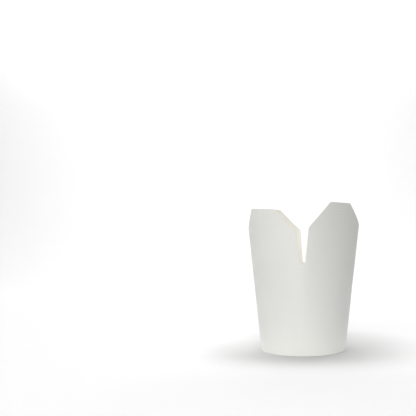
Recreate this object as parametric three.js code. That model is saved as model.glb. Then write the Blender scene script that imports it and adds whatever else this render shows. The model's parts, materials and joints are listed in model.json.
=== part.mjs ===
// Noodle takeaway box: an empty round-bottomed paperboard box with its four lid flaps standing up.
// Millimetres, +Z up. The origin is the centre of the base, on the surface that the box stands on.
// The front slit faces -Y. Angles are in degrees, anticlockwise from +X seen from above.

import * as THREE from 'three';

// Driving dimensions
const board = 0.5; // thickness of the paperboard
const clearance = 0.3; // gap between two pieces that touch
const baseRadius = 41.2; // outside of the wall at its foot
const foldRadius = 50.9; // outside of the wall at the fold line, under a slit
const foldHeight = 85; // height of the fold line between the wall and the flaps
const roundHeight = 12; // up to here the disc holds the wall truly round
const slitWidth = 5; // gap between two flaps at their feet
const seamSlitWidth = 2.3; // the same over the glued seam, where the blank overlaps
const slitDrop = 0.6; // how far the rounded end of a slit reaches below the fold line

// Bottom rim: the wall turns in under the disc's skirt and up again as a hem
const hemHeight = 5;
const hemThroat = 0.5; // floor of the slot that holds the skirt
const rimRounding = 0.7; // height of the rounded edges of the rim
const discTop = 7; // top face of the recessed disc
const discEdge = 0.4; // rounding where the disc turns down into its skirt

// Glued side seam, at the back: one end of the blank lies over the other
const seamAngle = 90;
const seamOverlap = 9; // width of the double board
const seamRise = 5; // width over which the outer end climbs onto the inner one
const seamFade = 4; // the overlap dies out over this height below the fold line

// The two kinds of flap. Bulge is how far a flap's foot stands outside the straight line between its
// two slits, and swell is how much that changes for each millimetre up. Spread is how far its corners
// move outwards for each millimetre up. Heights are measured up from the fold line. Hollow is how far
// the chamfer at each corner dips below a straight line.
const tallFlap = {
  bulge: 11,
  swell: -0.052,
  spread: 0.142,
  tip: 55.5,
  shoulder: 34.4,
  tipHalfWidth: 13.5,
  hollow: 0,
};
const wideFlap = {
  bulge: 10.6,
  swell: 0.077,
  spread: 0.112,
  tip: 49.4,
  shoulder: 30.4,
  tipHalfWidth: 16.3,
  hollow: 1.6,
};

// The slopes are how much higher a flap's tip and shoulders get for each millimetre anticlockwise: the
// two front flaps stand a little unevenly, lower beside the front slit
const flaps = [
  { name: 'flap_front_right', centre: -45, kind: tallFlap, tipSlope: 0.02, shoulderSlope: 0.08 },
  { name: 'flap_back_right', centre: 45, kind: wideFlap, tipSlope: 0, shoulderSlope: 0 },
  { name: 'flap_back_left', centre: 135, kind: tallFlap, tipSlope: 0, shoulderSlope: 0 },
  { name: 'flap_front_left', centre: -135, kind: wideFlap, tipSlope: -0.075, shoulderSlope: -0.075 },
];

// How finely the curved faces are divided
const wallColumns = 96;
const wallRows = [10, 26, 45, 63, 76];
const chamferColumns = 5;
const tipColumns = 8;
const flapRows = 8;

const colours = { outside: 0xe7e8e3, base: 0xe4e3dc };

const radians = (degrees) => THREE.MathUtils.degToRad(degrees);
const degrees = (angle) => THREE.MathUtils.radToDeg(angle);
const clamp01 = (value) => THREE.MathUtils.clamp(value, 0, 1);

// Angle from one direction to another, between -180 and 180 degrees
function turnBetween(from, to) {
  return ((((to - from + 180) % 360) + 360) % 360) - 180;
}

// The arc that a flap follows between its corners at one height over the fold line.
// Its centre lies on the flap's middle line, at a signed distance from the box's axis.
function quarterArc(kind, height = 0) {
  const halfChord = (foldRadius + kind.spread * height) / Math.SQRT2;
  const bulge = kind.bulge + kind.swell * height;
  const radius = (halfChord ** 2 + bulge ** 2) / (2 * bulge);
  const centreDistance = halfChord + bulge - radius;
  const halfLength = radius * Math.asin(halfChord / radius);
  return { radius, centreDistance, halfLength };
}

// Radius of the fold line in one direction, from the arc of the flap above it
function sharpFoldRadius(angle) {
  const flap = flaps.find((each) => Math.abs(turnBetween(each.centre, angle)) <= 45);
  const { radius, centreDistance } = quarterArc(flap.kind);
  const turn = radians(turnBetween(flap.centre, angle));
  const across = centreDistance * Math.sin(turn);
  return centreDistance * Math.cos(turn) + Math.sqrt(radius ** 2 - across ** 2);
}

// The same with the corners under the slits eased, as a mean over a narrow fan of directions
function foldRadiusAt(angle) {
  const halfFan = 4;
  const samples = 9;
  let sum = 0;
  for (let index = 0; index < samples; index += 1) {
    sum += sharpFoldRadius(angle - halfFan + (2 * halfFan * index) / (samples - 1));
  }
  return sum / samples;
}

// Outside radius of the plain cone, before the top is squared
function coneRadius(height) {
  return baseRadius + ((foldRadius - baseRadius) * height) / foldHeight;
}

// Outside radius of the wall: round at the foot, following the four flap arcs at the fold line
function wallRadius(angle, height) {
  const squaring = clamp01((height - roundHeight) / (foldHeight - roundHeight));
  return coneRadius(height) * (1 + squaring * (foldRadiusAt(angle) / foldRadius - 1));
}

// Angles of the seam: where the outer end starts to climb, where the inner end stops under it,
// and where the outer end is cut off
const seamHalfTurn = degrees(seamOverlap / 2 / foldRadius);
const seamInnerEnd = seamAngle - seamHalfTurn;
const seamOuterEnd = seamAngle + seamHalfTurn;
const seamClimbStart = seamInnerEnd - degrees(seamRise / foldRadius);
const cutEdgeTurn = 0.1; // a cut edge is a step within this angle

// How far the outer end of the blank is lifted by the inner end
function seamLift(angle, height) {
  if (angle < seamClimbStart || angle > seamOuterEnd) return 0;
  const climb = clamp01((angle - seamClimbStart) / (seamInnerEnd - seamClimbStart));
  return board * climb * clamp01((foldHeight - height) / seamFade);
}

// How far the wall's inner face lies outside its usual place: only beside the inner end's cut edge
function seamHollow(angle, height) {
  return angle < seamInnerEnd ? seamLift(angle, height) : 0;
}

// Slits, each with the width of its foot
const slits = [
  { angle: -90, width: slitWidth },
  { angle: 0, width: slitWidth },
  { angle: 90, width: seamSlitWidth },
  { angle: 180, width: slitWidth },
];

function slitAt(angle) {
  return slits.find((slit) => Math.abs(turnBetween(slit.angle, angle)) < 0.01);
}

// Top edge of the wall: level under the flaps, dipping in a rounded end under each slit
function wallTop(angle) {
  let dip = 0;
  for (const slit of slits) {
    const halfTurn = degrees(slit.width / 2 / foldRadius);
    const across = Math.abs(turnBetween(slit.angle, angle)) / halfTurn;
    if (across < 1) dip = slitDrop * Math.sqrt(1 - across ** 4);
  }
  return foldHeight - clearance / 2 - dip;
}

// Directions at which the wall is cut into columns: even steps, the slit ends and the seam's edges
function wallDirections() {
  const list = [];
  for (let index = 0; index < wallColumns; index += 1) list.push((360 * index) / wallColumns - 135);
  for (const slit of slits) {
    const halfTurn = degrees(slit.width / 2 / foldRadius);
    for (const share of [-1, -0.85, -0.45, 0.45, 0.85, 1]) list.push(slit.angle + share * halfTurn);
  }
  list.push(seamClimbStart, seamInnerEnd - cutEdgeTurn, seamInnerEnd, seamOuterEnd);
  list.push(seamOuterEnd + cutEdgeTurn);
  const sorted = list.map((angle) => (angle < -135 ? angle + 360 : angle)).sort((a, b) => a - b);
  return sorted.filter((angle, index) => index === 0 || angle - sorted[index - 1] > cutEdgeTurn / 2);
}

// One loop of the wall's section, at one direction. Each point is a radius and a height.
function wallSection(angle) {
  const top = wallTop(angle);
  const outer = (height) => wallRadius(angle, height) + seamLift(angle, height);
  const inner = (height) => wallRadius(angle, height) - board + seamHollow(angle, height);
  const slotWidth = board + 2 * clearance;
  const hemOuter = (height) => coneRadius(height) - board - slotWidth;
  const hemInner = (height) => hemOuter(height) - board;
  const quarter = rimRounding / 4;
  const rows = [rimRounding, ...wallRows, top];
  const section = [];
  for (const height of [...rows].reverse()) section.push([outer(height), height]);
  section.push([outer(0) - quarter, quarter]);
  section.push([baseRadius - board, 0]);
  section.push([hemOuter(0), 0]);
  section.push([hemInner(0) + quarter, quarter]);
  section.push([hemInner(rimRounding), rimRounding]);
  section.push([hemInner(hemHeight), hemHeight]);
  section.push([hemOuter(hemHeight), hemHeight]);
  section.push([hemOuter(hemThroat), hemThroat]);
  section.push([inner(hemThroat), hemThroat]);
  for (const height of [...wallRows, top]) section.push([inner(height), height]);
  return section;
}

function geometryFrom(points, triangles) {
  const geometry = new THREE.BufferGeometry();
  geometry.setAttribute('position', new THREE.Float32BufferAttribute(points.flat(), 3));
  geometry.setIndex(triangles.flat());
  geometry.computeVertexNormals();
  return geometry;
}

// A closed ring: equal sections side by side, each a closed loop, joined all the way round
function ringGeometry(directions, sectionAt) {
  const sections = directions.map(sectionAt);
  const loop = sections[0].length;
  const points = [];
  const triangles = [];
  directions.forEach((angle, column) => {
    const turn = radians(angle);
    for (const [radius, height] of sections[column]) {
      points.push([radius * Math.cos(turn), radius * Math.sin(turn), height]);
    }
    const next = (column + 1) % directions.length;
    for (let index = 0; index < loop; index += 1) {
      const following = (index + 1) % loop;
      const [a, b] = [column * loop + index, column * loop + following];
      const [c, d] = [next * loop + index, next * loop + following];
      triangles.push([a, b, c], [b, d, c]);
    }
  });
  return geometryFrom(points, triangles);
}

// A point of a flap: a distance along its arc from the middle line, a height above the fold line
// and a depth below its outer face
function flapPoint(flap, along, height, depth) {
  const { radius, centreDistance } = quarterArc(flap.kind, height);
  const middle = radians(flap.centre);
  const direction = middle + along / radius;
  const x = centreDistance * Math.cos(middle) + (radius - depth) * Math.cos(direction);
  const y = centreDistance * Math.sin(middle) + (radius - depth) * Math.sin(direction);
  return [x, y, foldHeight + height];
}

// Distances along the arc at which a flap is cut into columns, from its clockwise side edge on
function flapColumns(flap) {
  const { halfLength } = quarterArc(flap.kind);
  const near = halfLength - slitAt(flap.centre - 45).width / 2;
  const far = halfLength - slitAt(flap.centre + 45).width / 2;
  const half = flap.kind.tipHalfWidth;
  const columns = [];
  for (let index = 0; index < chamferColumns; index += 1) {
    columns.push(-near + ((near - half) * index) / chamferColumns);
  }
  for (let index = 0; index <= tipColumns; index += 1) columns.push(-half + (2 * half * index) / tipColumns);
  for (let index = 1; index <= chamferColumns; index += 1) {
    columns.push(half + ((far - half) * index) / chamferColumns);
  }
  return columns;
}

// Height of a flap's outline over the fold line: the straight tip, and beside it a chamfer down to the
// shoulder, where the straight side edge starts
function flapTop(flap, along, edge) {
  const { tip, shoulder, tipHalfWidth, hollow } = flap.kind;
  const down = clamp01((Math.abs(along) - tipHalfWidth) / (edge - tipHalfWidth));
  const tipHeight = tip + flap.tipSlope * along;
  const shoulderHeight = shoulder + flap.shoulderSlope * along;
  return THREE.MathUtils.lerp(tipHeight, shoulderHeight, down) - 4 * hollow * down * (1 - down);
}

// A flap: a curved plate with straight sides, a straight tip and a chamfer at each corner
function flapGeometry(flap) {
  const columns = flapColumns(flap);
  const last = columns.length - 1;
  const foot = clearance / 2;
  const points = [];
  const triangles = [];
  const layer = columns.length * (flapRows + 1);
  for (const depth of [0, board]) {
    for (const along of columns) {
      const top = flapTop(flap, along, Math.abs(along < 0 ? columns[0] : columns[last]));
      for (let row = 0; row <= flapRows; row += 1) {
        const height = THREE.MathUtils.lerp(foot, top, row / flapRows);
        points.push(flapPoint(flap, along, height, depth));
      }
    }
  }
  const at = (column, row, side) => side * layer + column * (flapRows + 1) + row;
  const quad = (a, b, c, d) => triangles.push([a, b, c], [a, c, d]);
  for (let column = 0; column < last; column += 1) {
    for (let row = 0; row < flapRows; row += 1) {
      quad(at(column, row, 0), at(column + 1, row, 0), at(column + 1, row + 1, 0), at(column, row + 1, 0));
      quad(at(column, row, 1), at(column, row + 1, 1), at(column + 1, row + 1, 1), at(column + 1, row, 1));
    }
    quad(at(column, 0, 0), at(column, 0, 1), at(column + 1, 0, 1), at(column + 1, 0, 0));
    quad(at(column, flapRows, 0), at(column + 1, flapRows, 0), at(column + 1, flapRows, 1),
      at(column, flapRows, 1));
  }
  for (let row = 0; row < flapRows; row += 1) {
    quad(at(0, row, 0), at(0, row + 1, 0), at(0, row + 1, 1), at(0, row, 1));
    quad(at(last, row, 0), at(last, row, 1), at(last, row + 1, 1), at(last, row + 1, 0));
  }
  return geometryFrom(points, triangles);
}

// The base: a round disc set up inside the wall, its edge turned down into a skirt
function baseGeometry() {
  const skirtOuter = (height) => coneRadius(height) - board - clearance;
  const skirtFoot = hemThroat + clearance;
  const underside = discTop - board;
  const profile = [
    [0, underside],
    [skirtOuter(underside) - board - discEdge, underside],
    [skirtOuter(underside - discEdge) - board, underside - discEdge],
    [skirtOuter(skirtFoot) - board, skirtFoot],
    [skirtOuter(skirtFoot), skirtFoot],
    [skirtOuter(discTop - discEdge), discTop - discEdge],
    [skirtOuter(discTop) - discEdge, discTop],
    [0, discTop],
  ];
  const outline = profile.map(([radius, height]) => new THREE.Vector2(radius, height));
  return new THREE.LatheGeometry(outline, wallColumns).rotateX(Math.PI / 2);
}

function boardMaterial(colour) {
  return new THREE.MeshStandardMaterial({ color: colour, roughness: 0.6, metalness: 0, side: THREE.FrontSide });
}

function namedMesh(name, geometry, material) {
  const mesh = new THREE.Mesh(geometry, material);
  mesh.name = name;
  return mesh;
}

const outsideBoard = boardMaterial(colours.outside);
const baseBoard = boardMaterial(colours.base);

const cup = new THREE.Group();
cup.add(namedMesh('wall', ringGeometry(wallDirections(), wallSection), outsideBoard));
cup.add(namedMesh('base', baseGeometry(), baseBoard));

const lid = new THREE.Group();
for (const flap of flaps) lid.add(namedMesh(flap.name, flapGeometry(flap), outsideBoard));

const box = new THREE.Group();
box.add(cup, lid);

export default box;
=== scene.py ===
"""Noodle takeaway box: an empty round-bottomed paperboard box with its four lid flaps standing up.

Every new piece is a surface worked out from a few named sizes. A height or a distance is in metres,
an angle in radians anticlockwise from +X seen from above. The front slit faces -Y.
"""

import json
import math

import bpy
import numpy as np
from bpy.props import FloatProperty, FloatVectorProperty, PointerProperty
from bpy.types import Operator, Panel, PropertyGroup
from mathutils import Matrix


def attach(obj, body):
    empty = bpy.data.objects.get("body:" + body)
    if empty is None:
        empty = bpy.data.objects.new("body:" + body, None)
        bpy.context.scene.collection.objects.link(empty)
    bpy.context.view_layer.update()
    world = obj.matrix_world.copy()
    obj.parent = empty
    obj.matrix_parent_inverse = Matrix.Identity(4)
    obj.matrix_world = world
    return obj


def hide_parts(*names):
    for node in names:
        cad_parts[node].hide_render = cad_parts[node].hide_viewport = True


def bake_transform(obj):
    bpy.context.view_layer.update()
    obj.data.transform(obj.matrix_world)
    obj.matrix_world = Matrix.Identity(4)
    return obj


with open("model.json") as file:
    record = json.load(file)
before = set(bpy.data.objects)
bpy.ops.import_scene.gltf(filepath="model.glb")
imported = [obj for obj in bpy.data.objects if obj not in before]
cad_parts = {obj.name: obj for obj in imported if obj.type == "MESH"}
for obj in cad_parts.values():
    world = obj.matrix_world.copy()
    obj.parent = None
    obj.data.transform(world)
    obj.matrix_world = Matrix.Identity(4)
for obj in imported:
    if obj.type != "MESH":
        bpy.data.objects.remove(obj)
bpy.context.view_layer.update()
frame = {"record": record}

bl_info = {
    "name": "Noodle takeaway box",
    "version": (1, 0, 0),
    "blender": (4, 5, 0),
    "location": "View3D > Sidebar > Noodle box",
    "description": "Makes a paperboard noodle box with four lid flaps, and a pale stage for it",
    "category": "Add Mesh",
}

RECORD = frame["record"]
FOLDS = {joint["child"]: joint for joint in RECORD["behaviour"]["joints"]}
CUP = "cup"
MM = 0.001

# The four flaps by body: the solid that each one replaces, its kind, and its slopes, which are how much
# higher its tip and its shoulders get for each unit anticlockwise. The front two stand a little unevenly.
FLAPS = {
    "front_right_lid": ("flap_front_right", "tall", (0.02, 0.08)),
    "back_right_lid": ("flap_back_right", "wide", (0.0, 0.0)),
    "back_left_lid": ("flap_back_left", "tall", (0.0, 0.0)),
    "front_left_lid": ("flap_front_left", "wide", (-0.075, -0.075)),
}
FOLD_HEIGHT = FOLDS["front_right_lid"]["pos_m"][2]
SEAM_ANGLE = math.radians(90)
QUARTER = math.radians(90)

# Places of the three board materials on a piece, and the angle from which an edge is shaded as sharp.
OUTSIDE, INSIDE, CUT_EDGE = range(3)
SHARP_ANGLE = math.radians(38)


# Settings that a user would change

def length(name, description, default):
    return FloatProperty(name=name, description=description, default=default, unit="LENGTH", precision=5)


def share(name, description, default):
    return FloatProperty(name=name, description=description, default=default, min=0, max=1)


def colour(name, description, default):
    return FloatVectorProperty(name=name, description=description, default=default, size=3, min=0, max=1,
                               subtype="COLOR")


def watts(name, description, default):
    return FloatProperty(name=name, description=description + ", in watts", default=default, min=0)


class BoardSettings(PropertyGroup):
    """The paperboard, its scored lines and its colours."""
    thickness: length("Thickness", "Thickness of the board", 0.45 * MM)
    bead_height: length("Bead height", "How far the clearest scored line stands out", 0.27 * MM)
    bead_width: length("Bead width", "Half the width of a scored line", 0.45 * MM)
    fold_share: share("Fold share", "How far the fold line stands out, as a share of that", 0.3)
    edge_bulge: length("Edge rounding", "How far a cut edge is rounded outwards", 0.07 * MM)
    unevenness: length("Unevenness", "How far the board strays from its true form", 0.07 * MM)
    outside: colour("Outside", "Coated outer face", (0.80, 0.80, 0.764))
    inside: colour("Inside", "Film-lined inner face", (0.97, 0.955, 0.90))
    cut_edge: colour("Cut edge", "Raw edge of the board", (0.95, 0.94, 0.90))


class CupSettings(PropertyGroup):
    """The wall, its seam and rim, and the disc."""
    base_radius: length("Base radius", "Outside of the wall at its foot", 41.2 * MM)
    fold_radius: length("Fold radius", "Outside of the wall at the fold line, under a slit", 50.9 * MM)
    round_height: length("Round height", "Up to here the wall is truly round", 12 * MM)
    slit_floor: length("Slit floor", "Depth of the end of a slit below the fold line", 0.4 * MM)
    slit_width: length("Slit width", "Gap between two flaps at their feet, at the sides", 5 * MM)
    front_slit_width: length("Front slit width", "The same at the front", 6.1 * MM)
    seam_slit_width: length("Seam slit width", "The same over the glued seam", 2.3 * MM)
    rim_rounding: length("Rim rounding", "Radius of the rim's outer edge", 0.5 * MM)
    hem_height: length("Hem height", "Height of the turned-in hem", 5 * MM)
    seam_overlap: length("Seam overlap", "Width of the double board", 9 * MM)
    disc_height: length("Disc height", "Height of the disc's top face", 7 * MM)


class TallFlapSettings(PropertyGroup):
    """The two taller flaps with a narrow tip. Heights are over the fold line."""
    bulge: length("Bulge", "Rise of the fold line's arc over its chord", 11 * MM)
    swell: FloatProperty(name="Swell", description="Change of the bulge for each unit up", default=-0.052)
    spread: share("Spread", "Outward travel of the corners for each unit up", 0.142)
    tip: length("Tip", "Height of the tip", 55.5 * MM)
    shoulder: length("Shoulder", "Height at which the chamfer starts", 34.4 * MM)
    tip_half_width: length("Tip half width", "Half the width of the tip", 13.5 * MM)
    hollow: length("Hollow", "How far the chamfer dips below a straight line", 0)
    score_below_tip: length("Score", "Distance of the scored line from the tip", 9.0 * MM)
    score_start: length("Score start", "Clockwise end of the scored line, from the middle", -13 * MM)
    score_end: length("Score end", "Anticlockwise end of the scored line, from the middle", 13 * MM)
    score_share: share("Score share", "How far it stands out, as a share of the clearest line", 0.9)


class WideFlapSettings(PropertyGroup):
    """The two lower flaps with a wide tip. Heights are over the fold line."""
    bulge: length("Bulge", "Rise of the fold line's arc over its chord", 10.6 * MM)
    swell: FloatProperty(name="Swell", description="Change of the bulge for each unit up", default=0.077)
    spread: share("Spread", "Outward travel of the corners for each unit up", 0.112)
    tip: length("Tip", "Height of the tip", 49.4 * MM)
    shoulder: length("Shoulder", "Height at which the chamfer starts", 30.4 * MM)
    tip_half_width: length("Tip half width", "Half the width of the tip", 16.3 * MM)
    hollow: length("Hollow", "How far the chamfer dips below a straight line", 1.6 * MM)
    score_below_tip: length("Score", "Distance of the upper scored line from the tip", 8.7 * MM)
    score_start: length("Score start", "Clockwise end of the upper line, from the middle", -18 * MM)
    score_end: length("Score end", "Anticlockwise end of the upper line, from the middle", 8 * MM)
    score_share: share("Score share", "How far it stands out, as a share of the clearest line", 0.9)
    score_spacing: length("Score spacing", "Distance between the two scored lines", 7.65 * MM)
    low_score_end: length("Low score end", "Both ends of the lower line, from the middle", 16 * MM)


class OutlineSettings(PropertyGroup):
    """How the corners of a flap's outline are eased."""
    shoulder_easing: length("Shoulder easing", "Width over which the shoulder is eased", 0.7 * MM)
    tip_corner: length("Tip corner", "Size of the rounded corner at the tip", 0.35 * MM)
    slit_end_radius: length("Slit end", "Largest radius of the rounded end of a slit", 1.4 * MM)


class StageSettings(PropertyGroup):
    """The camera, the lights and the floor."""
    camera_distance: length("Camera distance", "From the box's axis", 522 * MM)
    camera_rise: length("Camera rise", "How far the camera is over the fold line", 6.5 * MM)
    camera_turn: FloatProperty(name="Camera turn", description="Direction of the camera, from the front",
                               default=math.radians(0.55), subtype="ANGLE")
    millimetres_per_pixel: FloatProperty(name="Scale", description="Of the photograph, at the box's axis",
                                         default=0.985)
    axis_pixel: FloatProperty(name="Axis", description="Column of the photograph that holds the box's axis",
                              default=303.43)
    horizon_pixel: FloatProperty(name="Horizon", description="Row of the photograph at eye level",
                                 default=255.9)
    floor: colour("Floor", "Pale floor and backdrop", (0.95, 0.95, 0.95))
    # Painted shadow: how much darker the floor's colour is made round the box's foot.
    painted_floor_shadow: share("Floor shade", "How much darker the floor is round the box's foot", 0.22)
    key_light: watts("Key light", "Soft light at the front left", 2.4)
    left_light: watts("Left light", "Soft light at the left", 1.3)
    high_light: watts("High light", "Soft light high at the front", 2.9)
    front_light: watts("Front light", "Soft light over the camera", 3.4)
    back_light: watts("Back light", "Soft light behind the box", 0.87)
    backdrop_light: watts("Backdrop light", "Light on the backdrop", 32)
    backdrop_left_light: watts("Backdrop left light", "Light on the backdrop's left side", 4)
    floor_light: watts("Floor light", "Light that the floor throws up round the box's foot", 0.032)
    inside_light: watts("Inside light", "Light that the pale board gathers between the flaps", 0.004)


SETTINGS = {
    "noodle_board": BoardSettings,
    "noodle_outline": OutlineSettings,
    "noodle_cup": CupSettings,
    "noodle_tall": TallFlapSettings,
    "noodle_wide": WideFlapSettings,
    "noodle_stage": StageSettings,
}


def setting(name):
    """One of the groups of settings above, such as board for noodle_board."""
    return getattr(bpy.context.scene, "noodle_" + name)


# Form of the box

def turn_between(start, end):
    """Angle from one direction to another, between minus and plus half a turn."""
    return (end - start + math.pi) % (2 * math.pi) - math.pi


def smooth_step(value, low, high):
    """0 below low, 1 above high, and 3u^2 - 2u^3 between them."""
    u = np.clip((value - low) / (high - low), 0, 1)
    return u * u * (3 - 2 * u)


def quarter_arc(kind, height=0.0):
    """Arc of a flap between its two corners at a height over the fold line: with half the chord c and
    the bulge b, its radius is (c^2 + b^2) / 2b and its centre lies c + b - radius out on the flap's
    middle line. Returns radius, centre distance and half the arc's length."""
    chord = (setting("cup").fold_radius + kind.spread * height) / math.sqrt(2)
    bulge = kind.bulge + kind.swell * height
    radius = (chord ** 2 + bulge ** 2) / (2 * bulge)
    return radius, chord + bulge - radius, radius * np.arcsin(chord / radius)


def flap_middle(body):
    """Direction of a flap's middle line, from its hinge's place."""
    x, y, _ = FOLDS[body]["pos_m"]
    return math.atan2(y, x)


def sharp_fold_radius(angle):
    """Radius of the fold line by direction: r = d cos(a) + sqrt(R^2 - (d sin(a))^2) for the arc of the
    flap there, of radius R and centre distance d, where a is the turn from its middle line."""
    radius_there = np.zeros_like(angle)
    nearest = np.full_like(angle, math.pi)
    for body, (_, kind_name, _) in FLAPS.items():
        radius, distance, _ = quarter_arc(setting(kind_name))
        turn = turn_between(flap_middle(body), angle)
        on_arc = distance * np.cos(turn) + np.sqrt(radius ** 2 - (distance * np.sin(turn)) ** 2)
        radius_there = np.where(np.abs(turn) < nearest, on_arc, radius_there)
        nearest = np.minimum(nearest, np.abs(turn))
    return radius_there


def eased_fold_radius(angle):
    """The same with its corners eased: the mean over a fan of directions."""
    half_fan = 4
    fan = np.radians(np.linspace(-half_fan, half_fan, 9))
    return np.mean([sharp_fold_radius(angle + turn) for turn in fan], axis=0)


def cone_radius(height):
    """Outside radius of the plain cone: straight from the base radius to the fold radius."""
    cup = setting("cup")
    return cup.base_radius + (cup.fold_radius - cup.base_radius) * height / FOLD_HEIGHT


def unevenness(angle, height):
    """How the board strays from its true form: three slow waves of height and direction, summed."""
    waves = np.sin(3 * angle + height / (21 * MM) + 0.7)
    waves = waves + 0.7 * np.sin(5 * angle - height / (13 * MM) + 2.1)
    waves = waves + 0.4 * np.sin(8 * angle + height / (9 * MM) + 4.0)
    return setting("board").unevenness * waves / 2.1


def wall_radius(angle, height):
    """Outside radius of the wall: the cone, squared from the round height up to the fold line, where
    it meets the four arcs. The board strays from its true form only above the disc."""
    cup = setting("cup")
    squaring = np.clip((height - cup.round_height) / (FOLD_HEIGHT - cup.round_height), 0, 1)
    corner_share = eased_fold_radius(angle) / cup.fold_radius - 1
    settled = smooth_step(height, cup.disc_height, 3 * cup.disc_height)
    return cone_radius(height) * (1 + squaring * corner_share) + settled * unevenness(angle, height)


def bead(distance):
    """How far a scored line stands out: height times exp(-(distance / width)^2)."""
    board = setting("board")
    return board.bead_height * np.exp(-((distance / board.bead_width) ** 2))


# Meshes from grids of points

def grid_faces(rows, columns, first=0, flip=False):
    """Squares between the points of a grid that is stored row by row."""
    corner = first + np.arange(rows - 1)[:, None] * columns + np.arange(columns - 1)
    faces = np.stack([corner, corner + 1, corner + columns + 1, corner + columns], axis=-1).reshape(-1, 4)
    return faces[:, ::-1] if flip else faces


def ring_faces(sections, length_of_section, closed=True):
    """Squares of a closed ring of sections, stored section by section. A closed section is a loop."""
    section = np.arange(sections)[:, None]
    step = np.arange(length_of_section if closed else length_of_section - 1)
    near, far = section * length_of_section, (section + 1) % sections * length_of_section
    following = (step + 1) % length_of_section
    return np.stack([near + step, near + following, far + following, far + step], axis=-1).reshape(-1, 4)


def carried_round(radius, height, angle):
    """Points of a section of radii and heights, carried round the axis: one row for each direction."""
    angle = angle[:, None]
    return np.stack([radius * np.cos(angle), radius * np.sin(angle), height + 0 * angle], axis=-1)


def make_piece(name, points, face_groups, materials, face_materials):
    """A mesh object at the origin, from an array of points, arrays of faces and the faces' materials."""
    faces = [corners for group in face_groups for corners in group.tolist()]
    mesh = bpy.data.meshes.new(name)
    mesh.from_pydata(points.reshape(-1, 3).tolist(), [], faces)
    for material in materials:
        mesh.materials.append(material)
    mesh.polygons.foreach_set("material_index", face_materials.astype(np.int32))
    mesh.polygons.foreach_set("use_smooth", np.ones(len(faces), bool))
    mesh.update()
    mesh.set_sharp_from_angle(angle=SHARP_ANGLE)
    piece = bpy.data.objects.new(name, mesh)
    bpy.context.scene.collection.objects.link(piece)
    return piece


def quarter_turn(radius, steps):
    """Points of a quarter circle from (0, radius) to (radius, 0), as distances in and up."""
    turn = np.linspace(0, math.pi / 2, steps)
    return radius * (1 - np.cos(turn)), radius * (1 - np.sin(turn))


# Wall

def seam_half_turn():
    """Half the angle that the double board of the seam takes."""
    cup = setting("cup")
    return cup.seam_overlap / 2 / cup.fold_radius


def seam_lift(angle, height):
    """How far the outer end of the board is lifted by the inner end under it: it climbs one board's
    thickness before the inner end, stays up to its own cut edge, and fades below the fold line."""
    half_turn = seam_half_turn()
    turn = turn_between(SEAM_ANGLE, angle)
    climb_start, climb_end = -2.2 * half_turn, -half_turn
    climb = smooth_step(turn, climb_start, climb_end)
    top = FOLD_HEIGHT - setting("cup").slit_floor
    fade_height = 4 * MM
    fade = np.clip((top - height) / fade_height, 0, 1)
    return np.where(turn <= half_turn, setting("board").thickness * climb * fade, 0)


def seam_hollow(angle, height):
    """The inner face follows the outer end only up to the inner end's cut edge."""
    turn = turn_between(SEAM_ANGLE, angle)
    return np.where(turn < -seam_half_turn(), seam_lift(angle, height), 0)


def wall_directions():
    """Even directions all round, with a close pair at each cut edge of the seam."""
    even = np.linspace(0, 2 * math.pi, 480, endpoint=False)
    half_turn = seam_half_turn()
    edge_turn = 0.05 * MM / setting("cup").fold_radius
    edges = SEAM_ANGLE + np.array([-half_turn - edge_turn, -half_turn, half_turn, half_turn + edge_turn])
    return np.sort(np.concatenate([even, edges]))


def wall_surface(angle):
    """The wall's section swept all round: down the outside, round the rim, up the knurled hem, down its
    far side into the slot that holds the skirt, and up the inside. Returns the points, and how many of
    a section's points lie on the outside."""
    cup, board = setting("cup"), setting("board")
    angle = angle[:, None]
    top = FOLD_HEIGHT - cup.slit_floor
    rounding = cup.rim_rounding
    slot_width = 1.25 * board.thickness
    hem_depth = 2 * board.thickness + slot_width
    outer_rows, inner_rows, hem_rows = 62, 44, 7
    knurl_depth, knurl_count = 0.05 * MM, 60

    outer_heights = np.linspace(top, rounding, outer_rows)
    inner_heights = np.linspace(rounding, top, inner_rows)
    hem_heights = np.linspace(rounding, cup.hem_height, hem_rows)
    slot_heights = np.array([cup.hem_height, rounding])
    rim_in, rim_up = quarter_turn(rounding, 6)
    hem_in, hem_up = quarter_turn(rounding, 5)
    knurl = knurl_depth * np.cos(knurl_count * angle) * np.sin(math.pi * np.linspace(0, 1, hem_rows)) ** 2

    def inside_cone(inset, heights):
        return cone_radius(heights) - inset + 0 * angle

    rim_lift = seam_lift(angle, np.array([rounding])) * (1 - rim_in / rounding)
    radii = [
        wall_radius(angle, outer_heights) + seam_lift(angle, outer_heights),
        (inside_cone(rim_in, rim_up) + rim_lift)[:, 1:],
        inside_cone(hem_depth - hem_in, hem_up)[:, ::-1],
        (inside_cone(hem_depth, hem_heights) + knurl)[:, 1:],
        inside_cone(hem_depth - board.thickness, slot_heights),
        wall_radius(angle, inner_heights) - board.thickness + seam_hollow(angle, inner_heights),
    ]
    heights = [outer_heights, rim_up[1:], hem_up[::-1], hem_heights[1:], slot_heights, inner_heights]
    points = carried_round(np.concatenate(radii, axis=1), np.concatenate(heights), angle[:, 0])
    return points, outer_rows + len(rim_up) - 1


def make_wall():
    """The wall with its seam, rolled rim and hem."""
    points, outside_points = wall_surface(wall_directions())
    sections, loop = points.shape[:2]
    step = np.tile(np.arange(loop), sections)
    top_edge = step == loop - 1
    face_materials = np.where(step < outside_points, OUTSIDE, INSIDE)
    face_materials[top_edge] = CUT_EDGE
    piece = make_piece("cup_wall", points, [ring_faces(sections, loop)], board_materials(),
                       face_materials)
    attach(piece, CUP)
    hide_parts("wall")


# Disc

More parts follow.
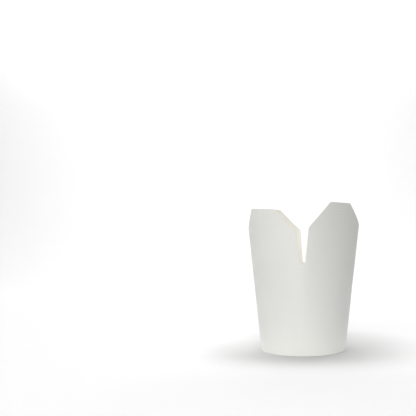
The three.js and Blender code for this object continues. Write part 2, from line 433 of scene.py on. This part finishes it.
def disc_section():
    """The disc's section, from beside its middle: out along the top, round its edge, down the skirt, up
    inside it and back in along the underside. The top is domed by the square of the radius, and a
    pressed ring dips by a bell curve of the distance from it. Returns the radii, the heights, and the
    height of the top's middle."""
    cup, board = setting("cup"), setting("board")
    thick, top = board.thickness, cup.disc_height
    inset, under_inset = 1.12 * thick, 0.1 * MM
    skirt_foot, edge_radius = 0.8 * MM, 0.6 * MM
    dome_rise, ring_depth, ring_inset, ring_width = 0.35 * MM, 0.18 * MM, 2.4 * MM, 0.8 * MM
    share_out = np.linspace(0, 1, 26)
    flat_radius = cone_radius(top) - inset - edge_radius
    from_ring = (1 - share_out) * flat_radius - ring_inset
    rise = dome_rise * (1 - share_out ** 2) - ring_depth * np.exp(-((from_ring / ring_width) ** 2))
    edge_in, edge_down = quarter_turn(edge_radius, 6)
    skirt = np.linspace(top - edge_radius, skirt_foot, 8)
    radius = np.concatenate([
        share_out[1:] * flat_radius,
        (flat_radius + edge_radius - edge_in)[::-1][1:],
        cone_radius(skirt[1:]) - inset,
        cone_radius(skirt[::-1]) - inset - thick,
        (share_out[1:] * (flat_radius - under_inset))[::-1],
    ])
    height = np.concatenate([
        (top + rise)[1:],
        (top - edge_down)[::-1][1:],
        skirt[1:],
        skirt[::-1],
        (top - thick + rise)[1:][::-1],
    ])
    return radius, height, top + rise[0]


def make_disc():
    """The disc with its skirt, set into the wall. A fan of triangles closes its top and its underside
    at the axis."""
    radius, height, middle_height = disc_section()
    points = carried_round(radius, height, np.linspace(0, 2 * math.pi, 256, endpoint=False))
    sections, steps = points.shape[:2]
    near = np.arange(sections)
    far = (near + 1) % sections
    top_middle, under_middle = sections * steps, sections * steps + 1
    top_fan = np.stack([np.full(sections, top_middle), near * steps, far * steps], axis=-1)
    under_fan = np.stack([np.full(sections, under_middle), (far + 1) * steps - 1, (near + 1) * steps - 1],
                         axis=-1)
    middles = [[0, 0, middle_height], [0, 0, middle_height - setting("board").thickness]]
    face_groups = [ring_faces(sections, steps, closed=False), top_fan, under_fan]
    face_count = sum(len(group) for group in face_groups)
    piece = make_piece("cup_disc", np.concatenate([points.reshape(-1, 3), middles]), face_groups,
                       [board_materials()[INSIDE]], np.zeros(face_count))
    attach(piece, CUP)
    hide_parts("base")


# Flaps

def slit_half_width(middle, side):
    """Half the gap beside a flap, on its clockwise (-1) or anticlockwise (+1) side."""
    cup = setting("cup")
    from_seam = abs(turn_between(SEAM_ANGLE, middle + side * QUARTER / 2))
    if from_seam < QUARTER / 2:
        return cup.seam_slit_width / 2
    if from_seam > 3 * QUARTER / 2:
        return cup.front_slit_width / 2
    return cup.slit_width / 2


def half_width(kind, height, half_length, half_gap):
    """Distance from a flap's middle line to its side edge at each height: straight up to the shoulder,
    then along the chamfer, which dips below a straight line by hollow x 4u(1 - u) at a share u of its
    width. The shoulder is eased by a smooth minimum and the tip's corner by a quarter ellipse. The foot
    flares by the quarter circle that rounds the end of the slit."""
    cup, outline = setting("cup"), setting("outline")
    edge = half_length - half_gap
    across = np.linspace(0, 1, 200)
    chamfer_height = kind.tip + (kind.shoulder - kind.tip) * across - 4 * kind.hollow * across * (1 - across)
    chamfer_share = np.interp(height, chamfer_height[::-1], across[::-1])
    below = np.clip(kind.shoulder - height, 0, None)
    chamfer = kind.tip_half_width + (edge - kind.tip_half_width) * chamfer_share + below
    overlap = np.clip(outline.shoulder_easing - np.abs(chamfer - edge), 0, None) / outline.shoulder_easing
    width = np.minimum(chamfer, edge) - overlap ** 2 * outline.shoulder_easing / 4
    above = np.clip(1 + (height - kind.tip) / outline.tip_corner, 0, 1)
    width = width - outline.tip_corner * (1 - np.sqrt(1 - above ** 2))
    end_radius = min(outline.slit_end_radius, 0.95 * half_gap)
    low = np.clip(end_radius - (height + cup.slit_floor), 0, end_radius)
    return width + end_radius - np.sqrt(end_radius ** 2 - low ** 2)


def score_lines(kind):
    """A flap's scored lines: each one's distance below the tip, its two ends along the flap, and how
    far it stands out as a share of the clearest line."""
    lines = [(kind.score_below_tip, kind.score_start, kind.score_end, kind.score_share)]
    if isinstance(kind, WideFlapSettings):
        below_tip = kind.score_below_tip + kind.score_spacing
        lines.append((below_tip, -kind.low_score_end, kind.low_score_end, 1.0))
    return lines


def flap_heights(kind):
    """Heights of a flap's rows: close together at the fold, the scored lines, the shoulder and the tip."""
    tip = kind.tip
    fold_end, fold_step, plain_step = 1.2 * MM, 0.06 * MM, 1.1 * MM
    least_step = 0.03 * MM
    around_score = np.arange(-2.2, 2.25, 0.11) * MM
    around_shoulder = np.arange(-2, 2.1, 0.4) * MM
    corner = setting("outline").tip_corner * (1 - np.sin(np.linspace(0, math.pi / 2, 8)))
    heights = np.sort(np.concatenate([
        np.arange(-setting("cup").slit_floor, fold_end, fold_step),
        np.arange(fold_end, tip - fold_end, plain_step),
        *[tip - below_tip + around_score for below_tip, *_ in score_lines(kind)],
        kind.shoulder + around_shoulder,
        tip - corner,
    ]))
    kept = np.concatenate([[True], np.diff(heights) > least_step])
    heights = heights[kept & (heights <= tip)]
    heights[-1] = tip
    return heights


def flap_surface(body, along, height, depth):
    """A point of a flap by its distance along the arc from the middle line, its height over the fold
    line and its depth below the outer face. The slopes lift it by slope x along, where the slope goes
    straight from 0 at the fold to one value at the shoulder and another at the tip. Above the fold it
    lies on the arc of its height, and the eased corners of the fold line die out in a few millimetres.
    Below the fold it lies on the wall. The fold and the scored lines, which are level, stand out as
    fine beads."""
    _, kind_name, (tip_slope, shoulder_slope) = FLAPS[body]
    kind = setting(kind_name)
    middle = flap_middle(body)
    slope = np.interp(height, [0, kind.shoulder, kind.tip], [0, shoulder_slope, tip_slope])
    lifted = height + slope * along
    above = np.clip(lifted, 0, None)
    radius, distance, _ = quarter_arc(kind, above)
    direction = middle + along / radius
    x = distance * math.cos(middle) + radius * np.cos(direction)
    y = distance * math.sin(middle) + radius * np.sin(direction)
    angle = np.arctan2(y, x)
    out = np.hypot(x, y)
    easing_height = 3 * MM
    easing = eased_fold_radius(angle) - sharp_fold_radius(angle)
    out = out + easing * np.exp(-above / easing_height) + unevenness(angle, FOLD_HEIGHT + lifted)
    out = np.where(lifted < 0, wall_radius(angle, FOLD_HEIGHT + lifted), out)
    out = out + setting("board").fold_share * bead(lifted)
    fade = 2 * MM
    for below_tip, start, end, line_share in score_lines(kind):
        reach = smooth_step(along, start - fade, start + fade) - smooth_step(along, end - fade, end + fade)
        out = out + line_share * reach * bead(lifted - (kind.tip - below_tip))
    out = out - depth
    return np.stack([out * np.cos(angle), out * np.sin(angle), FOLD_HEIGHT + lifted + 0 * out], axis=-1)


def flap_edge_points(body, along, height, floor):
    """The cut edge: the outline's points pushed outwards in the flap's own surface, by the edge
    rounding times the cosine of the turn through the thickness. The foot stays flat."""
    board = setting("board")
    step_along = np.roll(along, -1) - np.roll(along, 1)
    step_up = np.roll(height, -1) - np.roll(height, 1)
    step_size = np.hypot(step_along, step_up) + 1e-12
    outward_along, outward_up = step_up / step_size, -step_along / step_size
    free = np.where(height <= floor + 1e-9, 0, 1)
    turn = np.linspace(-math.pi / 2, math.pi / 2, 7)[1:-1, None]
    push = board.edge_bulge * np.cos(turn) * free
    depth = board.thickness * (0.5 + 0.5 * np.sin(turn)) + 0 * push
    return flap_surface(body, along + push * outward_along, height + push * outward_up, depth)


def outline_indices(rows, columns):
    """The points of a grid along its outline, anticlockwise from its first corner."""
    index = np.arange(rows * columns).reshape(rows, columns)
    return np.concatenate([index[0, :], index[1:, -1], index[-1, -2::-1], index[-2:0:-1, 0]])


def make_flap(body):
    """One flap, from its outer and inner faces and its rounded cut edge, its foot lying on the wall just
    below the fold line. Its columns crowd towards its two side edges."""
    solid, kind_name, _ = FLAPS[body]
    kind, board = setting(kind_name), setting("board")
    middle = flap_middle(body)
    half_length = quarter_arc(kind)[2]
    heights = flap_heights(kind)
    crowding, columns = 1.35, 85
    share_across = np.sin(np.linspace(-1, 1, columns) * crowding) / math.sin(crowding)
    right = half_width(kind, heights, half_length, slit_half_width(middle, 1))
    left = half_width(kind, heights, half_length, slit_half_width(middle, -1))
    along = share_across[None, :] * np.where(share_across[None, :] < 0, left[:, None], right[:, None])
    height = heights[:, None] + 0 * along
    outer = flap_surface(body, along, height, 0)
    inner = flap_surface(body, along, height, board.thickness)

    rows, count = len(heights), along.size
    outline = outline_indices(rows, columns)
    edge = flap_edge_points(body, along.reshape(-1)[outline], height.reshape(-1)[outline], heights[0])
    loops = [outline]
    for each in range(len(edge)):
        loops.append(2 * count + each * len(outline) + np.arange(len(outline)))
    loops.append(outline + count)
    edge_faces = [np.stack([near, far, np.roll(far, -1), np.roll(near, -1)], axis=-1)
                  for near, far in zip(loops[:-1], loops[1:])]
    face_groups = [grid_faces(rows, columns), grid_faces(rows, columns, first=count, flip=True), *edge_faces]
    sizes = [len(face_groups[0]), len(face_groups[1]), sum(len(each) for each in edge_faces)]
    face_materials = np.repeat([OUTSIDE, INSIDE, CUT_EDGE], sizes)
    points = np.concatenate([outer.reshape(-1, 3), inner.reshape(-1, 3), edge.reshape(-1, 3)])
    piece = make_piece(body.replace("_lid", "_flap"), points, face_groups, board_materials(),
                       face_materials)
    bend = 0.35 * MM
    FOLD_HEIGHT - bend
    FOLD_HEIGHT + bend
    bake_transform(piece)
    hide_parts(solid)


# Materials

class Shade:
    """A shader socket in arithmetic: each operator adds one Math node and gives its result."""

    def __init__(self, material, socket):
        self.material = material
        self.socket = socket

    def _math(self, operation, first, second):
        return self.material.node("ShaderNodeMath", {"operation": operation}, [first, second])

    def __add__(self, other):
        return self._math("ADD", self, other)

    __radd__ = __add__

    def __mul__(self, other):
        return self._math("MULTIPLY", self, other)

    __rmul__ = __mul__


class NodeMaterial:
    """A node material with one method that makes any node."""

    def __init__(self, name):
        self.material = bpy.data.materials.new(name)
        self.material.use_nodes = True
        self.tree = self.material.node_tree
        self.tree.nodes.clear()

    def node(self, kind, settings=None, inputs=None, output=0):
        """Adds a node, sets its settings first and then its sockets, and gives one of its outputs, if it
        has any."""
        node = self.tree.nodes.new(kind)
        for key, value in (settings or {}).items():
            setattr(node, key, value)
        items = enumerate(inputs) if isinstance(inputs, list) else (inputs or {}).items()
        for key, value in items:
            if isinstance(value, Shade):
                self.tree.links.new(value.socket, node.inputs[key])
            else:
                node.inputs[key].default_value = value
        return Shade(self, node.outputs[output]) if len(node.outputs) else None

    def place(self):
        """Object coordinates, in metres."""
        return self.node("ShaderNodeTexCoord", output="Object")

    def noise(self, size, detail, roughness=0.5):
        """Noise on Object coordinates with features of one size, in metres."""
        return self.node("ShaderNodeTexNoise", {}, {
            "Vector": self.place(), "Scale": 1 / size, "Detail": detail, "Roughness": roughness})

    def mix(self, factor, first, second):
        """Colour mix by a factor."""
        return self.node("ShaderNodeMix", {"data_type": "RGBA"}, {0: factor, 6: first, 7: second}, output=2)

    def bump(self, height, distance, strength):
        """Normal from a height in shares of a distance in metres."""
        return self.node("ShaderNodeBump", {}, {"Height": height, "Distance": distance, "Strength": strength})

    def finish(self, **sockets):
        """Adds the surface shader with its sockets, named with spaces as underscores."""
        named = {key.replace("_", " "): value for key, value in sockets.items()}
        surface = self.node("ShaderNodeBsdfPrincipled", {}, named)
        self.node("ShaderNodeOutputMaterial", {}, {"Surface": surface})
        return self.material


def toned(base, factor):
    """A colour times a number, with full alpha."""
    return (*(min(1.0, channel * factor) for channel in base), 1.0)


def coated_face(name, base, roughness, coat):
    """Coated or film-lined board: faint clouds of tone, fine grain in gloss and relief."""
    material = NodeMaterial(name)
    clouds = material.noise(14 * MM, detail=2.0)
    grain = material.noise(0.9 * MM, detail=4.0, roughness=0.6)
    fibres = material.noise(0.28 * MM, detail=2.0)
    tone = material.mix(clouds * 0.6 + grain * 0.4, toned(base, 0.985), toned(base, 1.015))
    normal = material.bump(grain * 0.6 + fibres * 0.4, 0.012 * MM, 0.5)
    return material.finish(Base_Color=tone, Roughness=roughness + grain * 0.12, Normal=normal,
                           Coat_Weight=coat, Coat_Roughness=0.35, Specular_IOR_Level=0.4)


def raw_edge(name, base):
    """Cut board: uneven fibres, matt."""
    material = NodeMaterial(name)
    fibres = material.noise(0.22 * MM, detail=4.0, roughness=0.65)
    tone = material.mix(fibres, toned(base, 0.93), toned(base, 1.05))
    normal = material.bump(fibres, 0.05 * MM, 0.6)
    return material.finish(Base_Color=tone, Roughness=0.8, Normal=normal, Specular_IOR_Level=0.3)


def board_materials():
    """Outside, inside and cut edge, made once."""
    board = setting("board")
    if "board_outside" not in bpy.data.materials:
        coated_face("board_outside", board.outside, 0.42, 0.06)
        coated_face("board_inside", board.inside, 0.36, 0.12)
        raw_edge("board_cut_edge", board.cut_edge)
    return [bpy.data.materials[name] for name in ("board_outside", "board_inside", "board_cut_edge")]


# Stage

# The soft lights: the place of each, the place that it is turned towards, its width and its height, in
# metres. The power of each is a setting of the stage, such as key_light for key.
BOX_MIDDLE = (0, 0, 0.08)
SOFT_LIGHTS = {
    "key": ((-0.407, -1.117, 0.456), BOX_MIDDLE, 0.8, 0.8),
    "left": ((-0.911, -0.764, 0.456), BOX_MIDDLE, 0.8, 0.8),
    "high": ((-0.245, -0.674, 1.094), BOX_MIDDLE, 0.8, 0.8),
    "front": ((0.099, -1.129, 0.598), BOX_MIDDLE, 0.5, 0.5),
    "back": ((0.172, 0.975, 1.060), BOX_MIDDLE, 0.9, 0.9),
    "backdrop": ((0, 0.35, 1.9), (0, 1.3, 0.6), 1.6, 1.0),
    "backdrop_left": ((-1.2, 0.8, 1.3), (-1.3, 1.6, 0.7), 0.6, 0.6),
}

# Faint round lights that the camera doesn't see, in the same form: what the floor throws up at the box's
# foot, and what the board gathers between the flaps.
GLOWS = {
    "floor": ((0, 0, 0.3 * MM), (0, 0, 1), 0.16, 0.16),
    "inside": ((0.005, -0.005, 0.137), (-0.03, 0.03, 0.13), 0.03, 0.03),
}


def make_floor():
    """Floor and backdrop in one sheet: flat in front, then up a quarter circle to an upright wall. Its
    colour holds a painted shadow: darker round a spot a little behind and right of the box's axis,
    clearing with a smooth step of the distance from it."""
    stage = setting("stage")
    side, front, flat_end, bend, top = 3.0, -2.5, 0.9, 0.7, 2.6
    turn = np.linspace(0, math.pi / 2, 24)
    depth = np.concatenate([[front], flat_end + bend * np.sin(turn), [flat_end + bend]])
    height = np.concatenate([[0], bend * (1 - np.cos(turn)), [top]])
    across = np.linspace(-side, side, 3)
    points = np.stack(np.broadcast_arrays(across[None, :], depth[:, None], height[:, None]), axis=-1)
    mesh = bpy.data.meshes.new("floor")
    mesh.from_pydata(points.reshape(-1, 3).tolist(), [], grid_faces(len(depth), 3).tolist())
    mesh.polygons.foreach_set("use_smooth", np.ones(len(mesh.polygons), bool))
    material = NodeMaterial("floor_paper")
    speck = material.noise(60 * MM, detail=1.0)
    tone = material.mix(speck, toned(stage.floor, 0.995), toned(stage.floor, 1.005))
    # Painted shadow: the floor's colour is darkened round a spot near the box's foot and clears with the
    # distance from it.
    painted_shadow_middle, painted_shadow_core, painted_shadow_end = (15 * MM, 15 * MM, 0), 40 * MM, 140 * MM
    distance = material.node("ShaderNodeVectorMath", {"operation": "DISTANCE"},
                             [material.place(), painted_shadow_middle], output=1)
    clear = material.node("ShaderNodeMapRange", {"interpolation_type": "SMOOTHSTEP"},
                          {"Value": distance, "From Min": painted_shadow_core, "From Max": painted_shadow_end})
    tone = material.mix(clear, toned(stage.floor, 1 - stage.painted_floor_shadow), tone)
    mesh.materials.append(material.finish(Base_Color=tone, Roughness=0.9, Specular_IOR_Level=0.1))
    floor = bpy.data.objects.new("floor", mesh)
    bpy.context.scene.collection.objects.link(floor)


def make_light(name, place, target, width, height, shape="RECTANGLE"):
    """An area light at a place, turned towards a target."""
    light = bpy.data.lights.new(name, "AREA")
    light.shape = shape
    light.size, light.size_y = width, height
    light.energy = getattr(setting("stage"), name + "_light")
    lamp = bpy.data.objects.new(name, light)
    lamp.location = place
    direction = np.array(target) - np.array(place)
    yaw = math.atan2(direction[1], direction[0]) - math.pi / 2
    pitch = math.atan2(direction[2], math.hypot(direction[0], direction[1])) + math.pi / 2
    lamp.rotation_euler = (pitch, 0, yaw)
    bpy.context.scene.collection.objects.link(lamp)
    return lamp


def make_camera():
    """A level camera a little over the fold line, shifted so that the box stands where it does in the
    photograph's frame, which is square."""
    stage = setting("stage")
    frame_pixels = 416
    camera = bpy.data.cameras.new("camera")
    camera.sensor_width = 36
    focal_pixels = stage.camera_distance / MM / stage.millimetres_per_pixel
    camera.lens = camera.sensor_width * focal_pixels / frame_pixels
    camera.shift_x = -(stage.axis_pixel - frame_pixels / 2) / frame_pixels
    camera.shift_y = (stage.horizon_pixel - frame_pixels / 2) / frame_pixels
    viewer = bpy.data.objects.new("camera", camera)
    turn = stage.camera_turn
    viewer.location = (stage.camera_distance * math.sin(turn), -stage.camera_distance * math.cos(turn),
                       FOLD_HEIGHT + stage.camera_rise)
    viewer.rotation_euler = (math.pi / 2, 0, turn)
    bpy.context.scene.collection.objects.link(viewer)
    bpy.context.scene.camera = viewer


def make_sky():
    """A dark sky, so that all light comes from the lamps, shown without a film-like curve."""
    bpy.context.scene.view_settings.view_transform = "Standard"
    world = bpy.data.worlds.new("studio")
    world.use_nodes = True
    world.node_tree.nodes["Background"].inputs["Strength"].default_value = 0
    bpy.context.scene.world = world


# Operators

class NOODLE_OT_wall(Operator):
    """Make the wall with its seam and rolled rim."""
    bl_idname = "noodle.wall"
    bl_label = "Wall"

    def execute(self, context):
        make_wall()
        return {"FINISHED"}


class NOODLE_OT_disc(Operator):
    """Make the disc that closes the wall's foot."""
    bl_idname = "noodle.disc"
    bl_label = "Disc"

    def execute(self, context):
        make_disc()
        return {"FINISHED"}


class NOODLE_OT_flaps(Operator):
    """Make the four lid flaps."""
    bl_idname = "noodle.flaps"
    bl_label = "Flaps"

    def execute(self, context):
        for body in FLAPS:
            make_flap(body)
        return {"FINISHED"}


class NOODLE_OT_stage(Operator):
    """Make the floor, the lights and the camera."""
    bl_idname = "noodle.stage"
    bl_label = "Stage"

    def execute(self, context):
        make_floor()
        make_sky()
        for name, form in SOFT_LIGHTS.items():
            make_light(name, *form)
        for name, form in GLOWS.items():
            make_light(name, *form, shape="DISK").visible_camera = False
        make_camera()
        return {"FINISHED"}


class NOODLE_PT_panel(Panel):
    """Lists the pieces and their settings in the 3D view's sidebar."""
    bl_label = "Noodle box"
    bl_space_type = "VIEW_3D"
    bl_region_type = "UI"
    bl_category = "Noodle box"

    def draw(self, context):
        for operator in OPERATORS:
            self.layout.operator(operator.bl_idname)
        for name, group in SETTINGS.items():
            settings_box = self.layout.box()
            for key in group.__annotations__:
                settings_box.prop(getattr(context.scene, name), key)


OPERATORS = (NOODLE_OT_wall, NOODLE_OT_disc, NOODLE_OT_flaps, NOODLE_OT_stage)


def register():
    """Adds the settings, the operators and the panel."""
    for group in SETTINGS.values():
        bpy.utils.register_class(group)
    for name, group in SETTINGS.items():
        setattr(bpy.types.Scene, name, PointerProperty(type=group))
    for each in (*OPERATORS, NOODLE_PT_panel):
        bpy.utils.register_class(each)


def unregister():
    """Takes them away again, in the other order."""
    for each in (NOODLE_PT_panel, *reversed(OPERATORS)):
        bpy.utils.unregister_class(each)
    for name in SETTINGS:
        delattr(bpy.types.Scene, name)
    for group in reversed(SETTINGS.values()):
        bpy.utils.unregister_class(group)


def main():
    register()
    bpy.ops.noodle.wall()
    bpy.ops.noodle.disc()
    bpy.ops.noodle.flaps()
    bpy.ops.noodle.stage()


if __name__ == "__main__":
    main()
